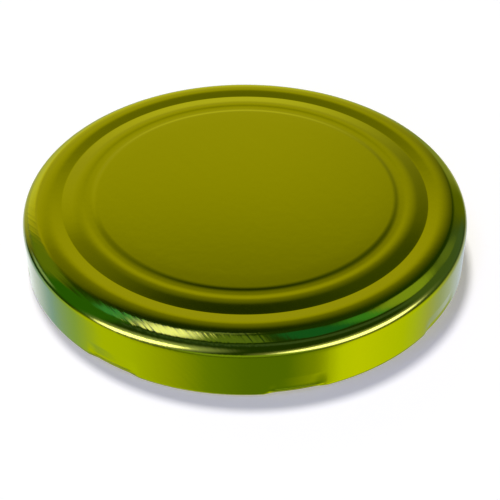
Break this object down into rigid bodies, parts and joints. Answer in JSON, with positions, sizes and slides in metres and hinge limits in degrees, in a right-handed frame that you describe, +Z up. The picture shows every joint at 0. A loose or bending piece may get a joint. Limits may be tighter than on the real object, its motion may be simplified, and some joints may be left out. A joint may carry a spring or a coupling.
{
  "type": "jar lid",
  "caption": "Low round pressed-steel lug lid for a glass jar: stepped top with a recessed ring valley, smooth skirt, rolled edge with inward lugs, sealing ring inside.",
  "frame": {"origin": "on the lid's axis, in the plane that the rolled lower edge rests on", "axes": "+Z up along the lid's axis, out of the top; -Y towards the picture's viewer"},
  "size_m": [0.0724, 0.0724, 0.0107],
  "materials": {
    "lacquered_steel": "gloss",
    "sealing_compound": "satin"
  },
  "bodies": {
    "root": {"lid_shell": "lacquered_steel", "sealing_ring": "sealing_compound"}
  },
  "joints": []
}
